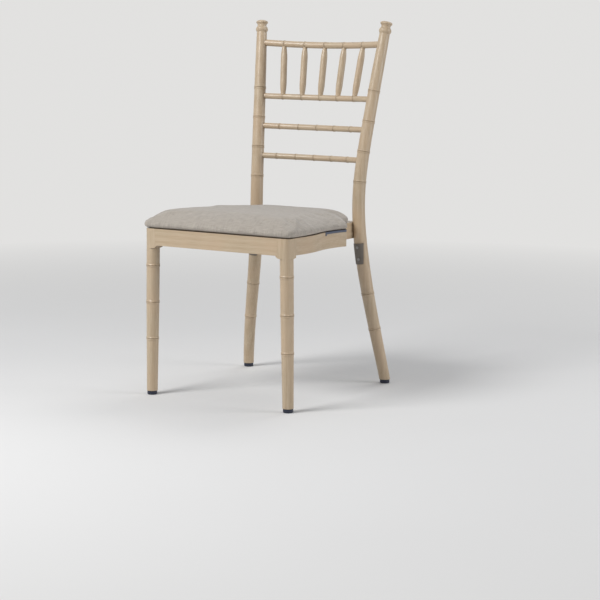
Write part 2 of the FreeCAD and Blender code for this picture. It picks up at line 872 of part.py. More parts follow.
def build_side_seat_rail(side, name):
    rear = rear_rail_front - float(size.fit_gap)
    body = add_body(name)
    pad(body, "XY_Plane", side_face_corners(side, 0.0) + [
        (side * waist_inside, rear, None),
        (side * waist_inside, slant_depth(waist_inside), None),
        (side * frame_inside, slant_depth(frame_inside), None),
        (side * (side_face - size.seat_rail_thickness), head_rear, None),
    ], frame_bottom, size.seat_rail_height)
    gap = float(size.fit_gap)
    keep(cut(name, body, frame_tools() + [post_envelope(side), stacking_strip(side, gap, 5.0)]), name)


def build_rear_seat_rail():
    name = "rear_seat_rail"
    body = add_body(name)
    half = post_at_seat.x
    rear = rear_rail_front + float(size.seat_rail_thickness)
    pad(body, "XY_Plane", [
        (-half, rear_rail_front, None),
        (half, rear_rail_front, None),
        (half, rear, None),
        (-half, rear, None),
    ], frame_bottom, size.seat_rail_height)
    keep(cut(name, body, frame_tools() + [post_envelope(-1), post_envelope(1)]), name)


def build_corner_blocks():
    for side, side_name in ((-1, "left"), (1, "right")):
        for corners, place in zip(block_outlines(side), ("front", "rear")):
            name = "%s_corner_block_%s" % (place, side_name)
            body = add_body(name)
            outline = [(x, y, None) for x, y in corners]
            pad(body, "XY_Plane", outline, frame_top - size.block_drop - size.block_height, size.block_height)
            keep(cut(name, body, [shape for unused, shape in block_screws(screw_bore)]), name)


def build_group(name, shapes):
    # Identical fasteners share one node.
    keep(feature(name, Part.Compound([shape for owner, shape in shapes if owner == name])), name)


# Front legs

def leg_turning():
    # Profile of a front leg about its own axis, with its rings and the flare of its head.
    top = float(frame_top)
    rings = [float(size.leg_ring_height) + k * float(size.leg_ring_spacing) for k in range(3)]
    square = float(frame_bottom) - float(size.haunch_radius) - 1.0
    stations = [
        (0.0, float(size.front_leg_foot_radius)),
        (rings[1], float(size.front_leg_mid_radius)),
        (square - float(size.leg_flare_height), float(size.front_leg_top_radius)),
    ]
    profile = with_rings(stations, rings, size.ring_swell, size.ring_width, top)
    flare = float(leg_half) * math.sqrt(2) + 1.0
    corners = [(0.0, 0.0, None)] + [(radius, height, None) for height, radius in profile]
    corners.append((flare, square, None))
    corners.append((flare, top + 4.0, None))
    corners.append((0.0, top + 4.0, None))
    return corners


def build_front_leg(side, name):
    body = add_body(name)
    revolve(body, leg_turning())
    foot = Vector(side * float(size.front_foot_spread), -float(size.front_leg_depth), 0)
    head = Vector(side * float(size.front_leg_spread), -float(size.front_leg_depth), float(frame_top))
    body.Placement = Placement(foot, Rotation(Z_AXIS, head - foot))
    half = float(leg_half)
    radius = float(size.corner_radius)
    bend = -side * radius * (1 - math.sqrt(0.5))
    inside = side * (float(size.front_leg_spread) - half)
    outside = side * float(side_face)
    front = float(front_face)
    prism_low = float(frame_bottom) - float(size.haunch_radius) - 1.0 - float(size.leg_flare_height)
    outline = outline_wire([
        (inside, front, None),
        (outside - side * radius, front, bend),
        (outside, front + radius, None),
        (outside, front + 2 * half, None),
        (inside, front + 2 * half, None),
    ], prism_low)
    prism = Part.Face(outline).extrude(Vector(0, 0, float(frame_top) - prism_low))
    corner = Vector(head.x - CUT_THROUGH / 2, head.y - CUT_THROUGH / 2, prism_low)
    around = Part.makeBox(CUT_THROUGH, CUT_THROUGH, CUT_THROUGH, corner).cut(prism)
    tools = frame_tools() + [around, glide_space(foot), below_glides(foot)]
    keep(cut(name, body, tools), name)


# Glides

def foot_places():
    places = []
    for side, side_name in ((-1, "left"), (1, "right")):
        front = Vector(side * float(size.front_foot_spread), -float(size.front_leg_depth), 0)
        rear = on_post(side, size.glide_height)[0]
        places.append(("foot_glide_front_" + side_name, front))
        places.append(("foot_glide_rear_" + side_name, Vector(rear.x, rear.y, 0)))
    return places


def glide_space(foot):
    # The bore in a leg that takes a glide's stem.
    start = Vector(foot.x, foot.y, 0)
    reach = float(size.glide_height) + float(size.glide_stem_length) + 1.0
    return rod(start, start + Z_AXIS * reach, float(size.glide_stem_radius) + float(size.fit_gap))


def below_glides(foot):
    corner = Vector(foot.x - CUT_THROUGH / 2, foot.y - CUT_THROUGH / 2, float(size.glide_height) - CUT_THROUGH)
    return Part.makeBox(CUT_THROUGH, CUT_THROUGH, CUT_THROUGH, corner)


def build_glides():
    top = size.glide_height + size.glide_stem_length
    for name, foot in foot_places():
        body = add_body(name)
        revolve(body, [
            (0.0, 0.0, None),
            (size.glide_radius - size.glide_chamfer, 0.0, None),
            (size.glide_radius, size.glide_chamfer, None),
            (size.glide_radius, size.glide_height, None),
            (size.glide_stem_radius, size.glide_height, None),
            (size.glide_stem_radius, top, None),
            (0.0, top, None),
        ])
        body.Placement = Placement(foot, Rotation())
        keep(body, name)


# Wear plates on the rear posts

def plate_screw_places(side):
    middle = float(size.plate_bottom) + float(size.plate_height) / 2
    places = []
    for shift in (-0.5, 0.5):
        height = middle + shift * float(size.plate_screw_pitch)
        centre = on_post(side, height)[0]
        reach = post_radius(height) + float(size.plate_thickness) + float(size.fit_gap)
        places.append(centre - Vector(0, reach + 0.1, 0))
    return places


def plate_screws(side, builder):
    inward = Vector(0, 1, 0)
    length = float(size.plate_screw_length)
    head = (size.plate_screw_head_radius, size.plate_screw_head_height)
    return [builder(start, inward, length, *head) for start in plate_screw_places(side)]


def build_plate(side, name):
    low = float(size.plate_bottom)
    high = low + float(size.plate_height)
    gap = float(size.fit_gap)
    shell = post_loft(side, low, high, gap + float(size.plate_thickness))
    shell = shell.cut(post_loft(side, low - 5.0, high + 5.0, gap))
    centre = on_post(side, (low + high) / 2)[0]
    angle = math.radians(float(size.plate_half_angle))
    reach = CUT_THROUGH / 2
    points = [Vector(centre.x, centre.y, low - 10.0)]
    for turn in (-angle, -angle / 2, 0.0, angle / 2, angle):
        points.append(points[0] + Vector(math.sin(turn), -math.cos(turn), 0) * reach)
    wedge = Part.Face(Part.makePolygon(points + [points[0]])).extrude(Vector(0, 0, high - low + 20.0))
    shell = shell.common(wedge).cut(Part.Compound(plate_screws(side, screw_bore)))
    keep(feature(name, shell), name)


# Rear posts

def build_rear_post(side, name):
    tools = [below_glides(on_post(side, size.glide_height)[0])]
    tools.append(glide_space(on_post(side, size.glide_height)[0]))
    for axis, radius in (
        (crest_axis, size.crest_radius),
        (upper_axis, size.back_rail_radius),
        (middle_axis, size.back_rail_radius),
        (lower_axis, size.back_rail_radius),
    ):
        tools.append(peg_bores(axis, radius)[0 if side < 0 else 1])
    tools += [shape for owner, shape in dowel_rods(float(size.fit_gap)) if owner == "rear_rail_dowels"]
    tools += plate_screws(side, screw_bore)
    solid = post_loft(side, 0.0, AXIS_TOP, 0.0, True)
    keep(cut(name, feature(name, solid), tools), name)


# Seat pad

pad_middle = (float(front_face) + float(post_at_seat.y) - float(size.pad_rear_margin)) / 2


def pad_outline(inset, share, height):
    # Plan outline of the pad at an inset from the frame's face, then drawn in to a share.
    inset = float(inset)
    half = float(side_face) - inset
    front = float(front_face) + inset
    corner = float(size.pad_corner_radius)
    quarter = corner * (1 - math.sqrt(0.5))
    rear = float(post_at_seat.y) - float(size.pad_rear_margin) - inset
    meet = Vector(float(size.side_waist_spread) - inset, rear, 0)
    radius = float(size.pad_rear_radius) - inset
    low, high, bend = corner_points(meet - Vector(0, 1, 0), meet, meet - Vector(1, 0, 0), radius)
    right = [
        (half - corner, front, -quarter),
        (half, front + corner, -float(size.side_wave_out)),
        (half, -float(size.side_wave_front), float(size.side_wave_in)),
        (half + ELBOW_FLARE, -float(size.side_wave_rear), None),
    ]
    right += [(point.x, point.y, bow) for point, bow in rear_run(-inset)]
    right += [(low.x, low.y, -bend), (high.x, high.y, None)]
    left = []
    for index in range(len(right) - 1, -1, -1):
        bow = right[index - 1][2] if index else float(size.pad_pull_in)
        left.append((-right[index][0], right[index][1], bow))
    corners = []
    for x, y, bow in right + left:
        corners.append((x * share, pad_middle + (y - pad_middle) * share, None if bow is None else bow * share))
    return outline_wire(corners, float(frame_top) + height)


def pad_profile(shell):
    # Inset, share and height of the pad's sections, drawn in by the thickness of its cover.
    crown = float(size.pad_height)
    out = float(size.pad_overhang)
    shoulder = 22.0
    sections = [
        (4.0, 1.0, 0.0),
        (-out * 0.35, 1.0, crown * 0.09),
        (-out, 1.0, crown * 0.22),
        (-out * 0.8, 1.0, crown * 0.38),
        (2.0, 1.0, crown * 0.50),
        (10.0, 1.0, crown * 0.64),
        (shoulder, 1.0, crown * 0.84),
        (shoulder, 0.93, crown * 0.93),
        (shoulder, 0.8, crown * 0.97),
        (shoulder, 0.6, crown * 0.99),
        (shoulder, 0.3, crown),
    ]
    if not shell:
        return sections
    lift = float(size.dust_cover_thickness)
    drawn = []
    for inset, share, height in sections:
        if height < crown * 0.45:
            drawn.append((inset + shell, share, max(height, lift)))
        else:
            lowered = shell * (0.5 + 0.5 * min(1.0, (height / crown - 0.45) / 0.3))
            drawn.append((inset + shell * 0.5, share, height - lowered))
    return drawn


def pad_solid(shell):
    # A ruled loft whose sections lean back more and more towards the crown.
    lift = float(size.dust_cover_thickness)
    fall = float(size.pad_fall) / float(size.pad_height) / (pad_middle - float(front_face)) / 2
    wires = []
    for inset, share, height in pad_profile(shell):
        wire = pad_outline(inset, share, height)
        lean = math.degrees(math.atan(fall * max(0.0, height - lift)))
        wire.rotate(Vector(0, pad_middle, float(frame_top) + height), Vector(1, 0, 0), -lean)
        wires.append(wire)
    return Part.makeLoft(wires, True, True)


def pad_layer(inset, low, thickness):
    face = Part.Face(pad_outline(inset, 1.0, low))
    return face.extrude(Vector(0, 0, float(thickness)))


def build_pad():
    cover_thickness = float(size.cover_thickness)
    lift = float(size.dust_cover_thickness)
    inner = pad_solid(cover_thickness)
    bores = [shape for owner, shape in block_screws(screw_bore) if owner == "seat_screws"]
    dust_cover = pad_layer(size.board_inset, 0.0, lift)
    board = pad_layer(size.board_inset, lift, size.board_thickness)
    keep(feature("dust_cover", dust_cover.cut(Part.Compound(bores))), "dust_cover")
    keep(feature("seat_board", board.cut(Part.Compound(bores))), "seat_board")
    keep(feature("seat_foam", inner.cut(board)), "seat_foam")
    opening = pad_layer(size.board_inset - 0.3, -1.0, lift + 1.0)
    keep(feature("seat_cover", pad_solid(0.0).cut(inner).cut(opening)), "seat_cover")


# Assembly

SIDES = ((-1, "left"), (1, "right"))

for side, side_name in SIDES:
    build_rear_post(side, "rear_post_" + side_name)
    build_front_leg(side, "front_leg_" + side_name)
build_back_rails()
build_spindles()
build_front_seat_rail()
for side, side_name in SIDES:
    build_side_seat_rail(side, "side_seat_rail_" + side_name)
build_rear_seat_rail()
build_corner_blocks()
for group in ("front_rail_dowels", "side_rail_dowels", "rear_rail_dowels"):
    build_group(group, dowel_rods(0.0))
for group in ("corner_block_screws", "seat_screws"):
    build_group(group, block_screws(screw))
build_pad()
for side, side_name in SIDES:
    keep(feature("stacking_strip_" + side_name, stacking_strip(side, 0.0, 0.0)), "stacking_strip_" + side_name)
    build_plate(side, "post_plate_" + side_name)
plate_screw_shapes = plate_screws(-1, screw) + plate_screws(1, screw)
keep(feature("post_plate_screws", Part.Compound(plate_screw_shapes)), "post_plate_screws")
build_glides()

doc.recompute()
for obj in doc.Objects:
    if "Invalid" in obj.State or "Error" in obj.State:
        raise RuntimeError("%s failed: %s" % (obj.Label, obj.State))

os.makedirs("parts", exist_ok=True)
box = FreeCAD.BoundBox()
for node in nodes:
    if node.Shape.isNull() or not node.Shape.isValid() or not node.Shape.Solids:
        raise RuntimeError("%s has no valid solid" % node.Label)
    box.add(node.Shape.BoundBox)
for node in nodes:
    node.Shape.exportStep("parts/%s.step" % node.Label)
print("box", [round(v, 1) for v in (box.XMin, box.XMax, box.YMin, box.YMax, box.ZMin, box.ZMax)])
for node in nodes:
    print("%-24s %2d solids %9.1f mm3" % (node.Label, len(node.Shape.Solids), node.Shape.Volume))
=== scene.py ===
import math

import bmesh
import bpy
from mathutils import Matrix, Vector, noise
from mathutils.bvhtree import BVHTree


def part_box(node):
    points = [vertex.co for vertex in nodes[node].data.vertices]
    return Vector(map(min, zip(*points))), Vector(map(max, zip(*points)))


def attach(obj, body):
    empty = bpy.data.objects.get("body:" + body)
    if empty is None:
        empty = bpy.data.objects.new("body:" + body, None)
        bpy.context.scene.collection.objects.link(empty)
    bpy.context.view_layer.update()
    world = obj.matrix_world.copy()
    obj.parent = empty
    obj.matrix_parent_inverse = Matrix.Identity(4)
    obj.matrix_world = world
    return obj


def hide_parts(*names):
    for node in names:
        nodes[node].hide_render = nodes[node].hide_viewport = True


# A stacking chiavari chair in pale lacquered wood with a grey linen pad.
# The shapes of wood, strips, plates, glides and visible screws are the frame's own; the pad
# is made here, and a piece screw_heads that lies at the tips of the screws and doesn't show.

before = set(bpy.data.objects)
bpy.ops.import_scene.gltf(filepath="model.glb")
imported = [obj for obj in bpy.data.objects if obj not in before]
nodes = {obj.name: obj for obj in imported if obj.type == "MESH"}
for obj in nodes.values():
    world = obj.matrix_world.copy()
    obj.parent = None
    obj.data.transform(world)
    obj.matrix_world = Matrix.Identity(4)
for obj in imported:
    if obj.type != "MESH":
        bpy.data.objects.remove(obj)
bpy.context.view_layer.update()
print("frame loaded:", len(nodes), "nodes")


# Places taken from the frame

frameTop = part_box("front_seat_rail")[1].z
padLow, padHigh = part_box("seat_cover")


# Nodes of a material

def newMaterial(name):
    material = bpy.data.materials.new(name)
    material.use_nodes = True
    return material.node_tree, material.node_tree.nodes["Principled BSDF"], material


def setInputs(tree, node, values):
    for key, value in values.items():
        if isinstance(value, bpy.types.NodeSocket):
            tree.links.new(value, node.inputs[key])
        else:
            node.inputs[key].default_value = value


def addNode(tree, kind, values=None, **settings):
    node = tree.nodes.new(kind)
    for key, value in settings.items():
        setattr(node, key, value)
    setInputs(tree, node, values or {})
    return node


def maths(tree, operation, first, second):
    return addNode(tree, "ShaderNodeMath", {0: first, 1: second}, operation=operation).outputs[0]


def vectorMaths(tree, operation, first, second):
    values = {0: first, 1: second}
    return addNode(tree, "ShaderNodeVectorMath", values, operation=operation).outputs[0]


def objectPlace(tree):
    return addNode(tree, "ShaderNodeTexCoord").outputs["Object"]


def mixed(tree, factor, first, second):
    values = {0: factor, 6: first, 7: second}
    return addNode(tree, "ShaderNodeMix", values, data_type="RGBA").outputs[2]


def remapped(tree, value, low, high, start=0.0, end=1.0):
    values = {"Value": value, "From Min": low, "From Max": high, "To Min": start, "To Max": end}
    return addNode(tree, "ShaderNodeMapRange", values).outputs[0]


def noiseOf(tree, vector, scale, detail=2.0, roughness=0.5):
    values = {"Vector": vector, "Scale": scale, "Detail": detail, "Roughness": roughness}
    return addNode(tree, "ShaderNodeTexNoise", values).outputs[0]


def softEdges(tree, radius):
    # Normals that round the edges over a radius.
    return addNode(tree, "ShaderNodeBevel", {"Radius": radius}, samples=4).outputs[0]


def occlusionShade(tree, reach, darkest):
    # Painted shade: a factor from ambient occlusion, 1 in the open, down to darkest in grooves and
    # joints.
    values = {"Distance": reach}
    hidden = addNode(tree, "ShaderNodeAmbientOcclusion", values, samples=6).outputs["AO"]
    return remapped(tree, hidden, 0.25, 0.95, darkest, 1.0)


def bumped(tree, height, strength, distance, **more):
    values = {"Height": height, "Strength": strength, "Distance": distance, **more}
    return addNode(tree, "ShaderNodeBump", values).outputs[0]


def placed(name, data):
    # A new object in the scene.
    thing = bpy.data.objects.new(name, data)
    bpy.context.scene.collection.objects.link(thing)
    return thing


# Wood: pale, fine-grained and lacquered, with the fibres along each piece

wood = {
    "light": (0.540, 0.435, 0.305, 1),
    "dark": (0.410, 0.305, 0.195, 1),
    "pink": (0.530, 0.385, 0.255, 1),
    # painted shade: the colour laid into grooves and joints by ambient occlusion, and how far it
    # reaches
    "groove": (0.200, 0.130, 0.075, 1),
    "squeeze": 0.035,           # how much slower the grain changes along the fibres
    "ringScale": 26.0,
    "ringDistortion": 3.5,
    "ringDetail": 2.0,
    "ringDetailScale": 1.4,
    "ringShare": 0.10,
    "fibreScale": 620.0,
    "fibreDetail": 3.0,
    "fibreRoughness": 0.6,
    "fibreShare": 0.55,
    "grainRange": (0.18, 0.47),     # where the dark tone starts and is full
    "cloudScale": 11.0,
    "cloudRange": (0.40, 0.66),
    "cloudShare": 0.45,
    "fleckScale": 1500.0,
    "fleckRange": (0.66, 0.74),
    "fleckShare": 0.35,
    "grooveReach": 0.004,
    "edge": 0.0009,
    "bump": 0.25,
    "bumpDepth": 0.0002,
    "roughness": 0.36,
    "smoother": 0.05,
    "rougher": 0.08,
    "coat": 0.18,
    "coatRoughness": 0.22,
}


def makeWood(name, along, w):
    tree, shader, material = newMaterial(name)
    place = objectPlace(tree)
    shift = addNode(
        tree, "ShaderNodeAttribute", attribute_type="OBJECT", attribute_name="grainShift",
    ).outputs["Vector"]
    moved = vectorMaths(tree, "ADD", place, shift)
    squeeze = [1.0, 1.0, 1.0]
    squeeze[along] = w["squeeze"]
    fibres = vectorMaths(tree, "MULTIPLY", moved, squeeze)
    rings = addNode(tree, "ShaderNodeTexWave", {
        "Vector": fibres,
        "Scale": w["ringScale"],
        "Distortion": w["ringDistortion"],
        "Detail": w["ringDetail"],
        "Detail Scale": w["ringDetailScale"],
    }, wave_type="RINGS", rings_direction="XYZ"[along]).outputs[1]
    fibre = noiseOf(tree, fibres, w["fibreScale"], w["fibreDetail"], w["fibreRoughness"])
    ringPart = maths(tree, "MULTIPLY", rings, w["ringShare"])
    fibrePart = maths(tree, "MULTIPLY", fibre, w["fibreShare"])
    darkness = remapped(tree, maths(tree, "ADD", ringPart, fibrePart), *w["grainRange"])
    tone = mixed(tree, darkness, w["light"], w["dark"])
    cloud = remapped(tree, noiseOf(tree, moved, w["cloudScale"]), *w["cloudRange"])
    tone = mixed(tree, maths(tree, "MULTIPLY", cloud, w["cloudShare"]), tone, w["pink"])
    flecks = noiseOf(tree, fibres, w["fleckScale"], 1.0)
    fleck = remapped(tree, flecks, *w["fleckRange"], 0.0, w["fleckShare"])
    tone = mixed(tree, fleck, tone, w["dark"])
    # painted shade in grooves and joints, from ambient occlusion
    tone = mixed(tree, occlusionShade(tree, w["grooveReach"], 0.0), w["groove"], tone)
    smoothest, roughest = w["roughness"] - w["smoother"], w["roughness"] + w["rougher"]
    edges = softEdges(tree, w["edge"])
    setInputs(tree, shader, {
        "Base Color": tone,
        "Roughness": remapped(tree, fibre, 0.3, 0.7, smoothest, roughest),
        "Coat Weight": w["coat"],
        "Coat Roughness": w["coatRoughness"],
        "Normal": bumped(tree, fibre, w["bump"], w["bumpDepth"], Normal=edges),
    })
    return material


uprightWood = makeWood("uprightWood", 2, wood)
crossWood = makeWood("crossWood", 0, wood)
sideWood = makeWood("sideWood", 1, wood)

grain = {}
for name in ("crest", "upper_back", "middle_back", "lower_back", "front_seat", "rear_seat"):
    grain[name + "_rail"] = crossWood
for side in ("left", "right"):
    grain["rear_post_" + side] = uprightWood
    grain["front_leg_" + side] = uprightWood
    grain["side_seat_rail_" + side] = sideWood
for number in range(1, 6):
    grain["back_spindle_%d" % number] = uprightWood
grainSteps = (0.37, 0.61, 0.83)     # metres between the grain of one piece and the next


def dress(name, material):
    node = nodes[name]
    node.data.materials.clear()
    node.data.materials.append(material)


for index, (name, material) in enumerate(sorted(grain.items())):
    dress(name, material)
    nodes[name]["grainShift"] = tuple(step * index % 1.0 for step in grainSteps)
print("wood made:", len(grain), "pieces")


# Bare wood inside the seat: corner blocks, dowels and the plywood board

blockWood = makeWood("blockWood", 0, {
    **wood,
    "light": (0.62, 0.45, 0.28, 1),
    "dark": (0.43, 0.28, 0.15, 1),
    "roughness": 0.62,
    "coat": 0.0,
})
for place in ("front", "rear"):
    for side in ("left", "right"):
        dress("%s_corner_block_%s" % (place, side), blockWood)
for name in ("front_rail_dowels", "side_rail_dowels", "rear_rail_dowels"):
    dress(name, blockWood)

board = {
    "light": (0.60, 0.44, 0.27, 1),
    "dark": (0.36, 0.23, 0.12, 1),
    "plyScale": 21.0,
    "plyDistortion": 0.4,
    "squeeze": (0.06, 1.0, 1.0),
    "fibreScale": 500.0,
    "roughness": 0.7,
}


def makePlywood(b):
    tree, shader, material = newMaterial("plywood")
    place = objectPlace(tree)
    layers = addNode(tree, "ShaderNodeTexWave", {
        "Vector": place, "Scale": b["plyScale"], "Distortion": b["plyDistortion"],
    }, bands_direction="Z").outputs[1]
    fibre = noiseOf(tree, vectorMaths(tree, "MULTIPLY", place, b["squeeze"]), b["fibreScale"])
    darkness = maths(tree, "MULTIPLY", maths(tree, "ADD", layers, fibre), 0.5)
    tone = mixed(tree, darkness, b["light"], b["dark"])
    setInputs(tree, shader, {"Base Color": tone, "Roughness": b["roughness"]})
    return material


dress("seat_board", makePlywood(board))


# Moulded pieces: stacking strips, wear plates and glides

plastic = {
    # tone, roughness, extra scuffs, and the pieces of each kind
    "kinds": {
        "stripBlue": ((0.070, 0.085, 0.125), 0.48, 0.0, ("stacking_strip_",)),
        "plateGrey": ((0.155, 0.135, 0.115), 0.52, 0.08, ("post_plate_",)),
        "glideNavy": ((0.012, 0.016, 0.034), 0.42, 0.0, ("foot_glide_front_", "foot_glide_rear_")),
    },
    "cloudScale": 60.0,
    "scuffScale": 900.0,
    "scuffRange": (0.35, 0.75),
    "scuffs": 0.10,
    "paler": 1.7,           # how much paler a scuff is, and what it adds
    "lift": 0.02,
    # painted shade laid into crevices by ambient occlusion: its colour, reach and how light it
    # stays in the open
    "creviceShade": (0.01, 0.01, 0.012, 1),
    "creviceShadeReach": 0.002,
    "creviceShadeOpen": 0.35,
    "gritScale": 2600.0,
    "bump": 0.2,
    "bumpDepth": 0.0001,
    "edge": 0.0006,
    "smoother": 0.06,
    "rougher": 0.08,
}


def makePlastic(name, tone, roughness, grit, p):
    tree, shader, material = newMaterial(name)
    place = objectPlace(tree)
    cloud = noiseOf(tree, place, p["cloudScale"], 3.0)
    patches = noiseOf(tree, place, p["scuffScale"])
    scuffs = remapped(tree, patches, *p["scuffRange"], 0.0, p["scuffs"] + grit)
    scuffed = tuple(min(1.0, p["paler"] * part + p["lift"]) for part in tone) + (1,)
    scuffedAndShaded = mixed(tree, scuffs, (*tone, 1), scuffed)
    # painted shade in crevices and joints, from ambient occlusion, over the real scuffs
    scuffedAndShaded = mixed(tree, occlusionShade(tree, p["creviceShadeReach"], p["creviceShadeOpen"]), p["creviceShade"], scuffedAndShaded)
    smoothest, roughest = roughness - p["smoother"], roughness + p["rougher"]
    height = noiseOf(tree, place, p["gritScale"], 1.0)
    edges = softEdges(tree, p["edge"])
    setInputs(tree, shader, {
        "Base Color": scuffedAndShaded,
        "Roughness": remapped(tree, cloud, 0.3, 0.7, smoothest, roughest),
        "Normal": bumped(tree, height, p["bump"], p["bumpDepth"], Normal=edges),
    })
    return material


for kind, (tone, roughness, grit, places) in plastic["kinds"].items():
    moulded = makePlastic(kind, tone, roughness, grit, plastic)
    for place in places:
        for side in ("left", "right"):
            dress(place + side, moulded)
print("strips, plates and glides made")


# Screws: the frame's own, in steel. The domes made here were meant for their heads, but
# headOf finds the tips, so they lie inside the wood and the seat.

steel = {
    "tone": (0.30, 0.29, 0.28, 1),
    "roughness": 0.34,
    "dome": 0.0007,
    "slotWide": 0.0009,
    "slotLong": 0.62,       # share of the dome's radius
    "inner": 1.42,          # innermost ring, in half widths of a slot
    "outer": 0.985,         # outermost ring, as a share of the radius
    "steps": 28,
    "rings": 5,
    # painted shade laid into the screws' crevices by ambient occlusion: its colour, reach and how
    # light it stays in the open
    "creviceShade": (0.02, 0.02, 0.02, 1),
    "creviceShadeReach": 0.0016,
    "creviceShadeOpen": 0.15,
    "patchScale": 700.0,
    "rougher": 0.2,
    "edge": 0.0003,
    "farthest": 0.985,      # share of the screw's length from which a point is at its end
    "endDepth": 0.0002,
}


def makeSteel(s):
    tree, shader, material = newMaterial("screwSteel")
    patches = noiseOf(tree, objectPlace(tree), s["patchScale"])
    # painted shade in crevices, from ambient occlusion
    tone = mixed(tree, occlusionShade(tree, s["creviceShadeReach"], s["creviceShadeOpen"]), s["creviceShade"], s["tone"])
    roughest = s["roughness"] + s["rougher"]
    setInputs(tree, shader, {
        "Base Color": tone,
        "Metallic": 1.0,
        "Roughness": remapped(tree, patches, 0.3, 0.7, s["roughness"], roughest),
        "Normal": softEdges(tree, s["edge"]),
    })
    return material


screwSteel = makeSteel(steel)
for name in ("corner_block_screws", "seat_screws", "post_plate_screws"):
    dress(name, screwSteel)


def looseParts(name):
    # The separate solids of a node, as lists of points.
    part = bmesh.new()
    part.from_mesh(nodes[name].data)
    bmesh.ops.remove_doubles(part, verts=part.verts, dist=1e-6)
    waiting = set(part.verts)
    groups = []
    while waiting:
        group = [waiting.pop()]
        for vert in group:
            for edge in vert.link_edges:
                other = edge.other_vert(vert)
                if other in waiting:
                    waiting.remove(other)
                    group.append(other)
        groups.append([vert.co.copy() for vert in group])
    part.free()
    return groups


def headOf(points, s):
    # Centre, direction and radius of the end across from the point farthest from the middle.
    # That point is on the rim of the head, so the end is the screw's tip, and the direction
    # leans a little with the point that is picked.
    middle = sum(points, Vector()) / len(points)
    far = max(points, key=lambda point: (point - middle).length)
    length = max((point - far).length for point in points)
    ends = [point for point in points if (point - far).length > length * s["farthest"]]
    centre = sum(ends, Vector()) / len(ends)
    outward = (centre - far).normalized()
    rim = [point for point in points if (point - centre).dot(outward) > -s["endDepth"]]
    centre = sum(rim, Vector()) / len(rim)
    outward = (centre - far).normalized()
    return centre, outward, max((point - centre).length for point in rim)


def addHead(mesh, centre, outward, radius, s):
    # A shallow dome in four sectors, with walls down to the flat end between them.
    turn = outward.to_track_quat("Z", "Y").to_matrix()
    long = radius * s["slotLong"]
    half = s["slotWide"] / 2
    least = half * s["inner"]
    steps = s["steps"] // 4

    def raised(x, y, height):
        return mesh.verts.new(centre + turn @ Vector((x, y, height)))

    for quarter in range(4):
        spun = Matrix.Rotation(math.radians(90 * quarter), 2)
        rows = []
        for ring in range(s["rings"] + 1):
            share = ring / s["rings"]
            reach = least + (radius * s["outer"] - least) * share
            start = math.asin(min(1.0, half / reach)) if reach < long else 0.0
            row = []
            for step in range(steps + 1):
                angle = start + (math.pi / 2 - 2 * start) * step / steps
                flat = spun @ Vector((math.cos(angle), math.sin(angle))) * reach
                row.append(raised(flat.x, flat.y, s["dome"] * (1 - share ** 3)))
            rows.append(row)
        for inner, outer in zip(rows, rows[1:]):
            for step in range(len(inner) - 1):
                mesh.faces.new((inner[step], outer[step], outer[step + 1], inner[step + 1]))
        for wall in ([row[0] for row in rows], [row[-1] for row in rows]):
            drops = [outward * (vert.co - centre).dot(outward) for vert in wall]
            floor = [mesh.verts.new(vert.co - drop) for vert, drop in zip(wall, drops)]
            for step in range(len(wall) - 1):
                mesh.faces.new((wall[step], wall[step + 1], floor[step + 1], floor[step]))


def finished(name, mesh, material):
    # A piece of its own from a bmesh, riding on the chair.
    bmesh.ops.recalc_face_normals(mesh, faces=mesh.faces)
    data = bpy.data.meshes.new(name)
    mesh.to_mesh(data)
    mesh.free()
    for face in data.polygons:
        face.use_smooth = True
    data.materials.append(material)
    piece = placed(name, data)
    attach(piece, "root")
    return piece


heads = bmesh.new()
for name in ("post_plate_screws", "corner_block_screws", "seat_screws"):
    for points in looseParts(name):
        addHead(heads, *headOf(points, steel), steel)
finished("screw_heads", heads, screwSteel)
print("screw heads made")


# Linen: a plain weave whose threads vary in thickness

linen = {
    "light": (0.475, 0.430, 0.375, 1),
    "dark": (0.295, 0.262, 0.225, 1),
    "thread": 0.0011,       # spacing of the threads
    "slub": 0.022,          # length over which a thread stays thick
    "wobbleScale": 90.0,
    "wobble": (0.0012, 0.0009),     # how far the threads wander
    "slubRange": (0.75, 1.25),
    "weaveTone": 0.16,
    "weaveHeight": 0.5,
    "cloudScale": 24.0,
    "cloudTone": 0.03,
    # painted shade laid into folds and creases by ambient occlusion: its colour, reach and how
    # light it stays in the open
    "foldShade": (0.05, 0.04, 0.035, 1),
    "foldShadeReach": 0.006,
    "foldShadeOpen": 0.25,
    "bump": 0.35,
    "bumpDepth": 0.0003,
    "roughness": 0.86,
    "sheen": 0.25,
    "sheenRoughness": 0.5,
    "specular": 0.25,
}


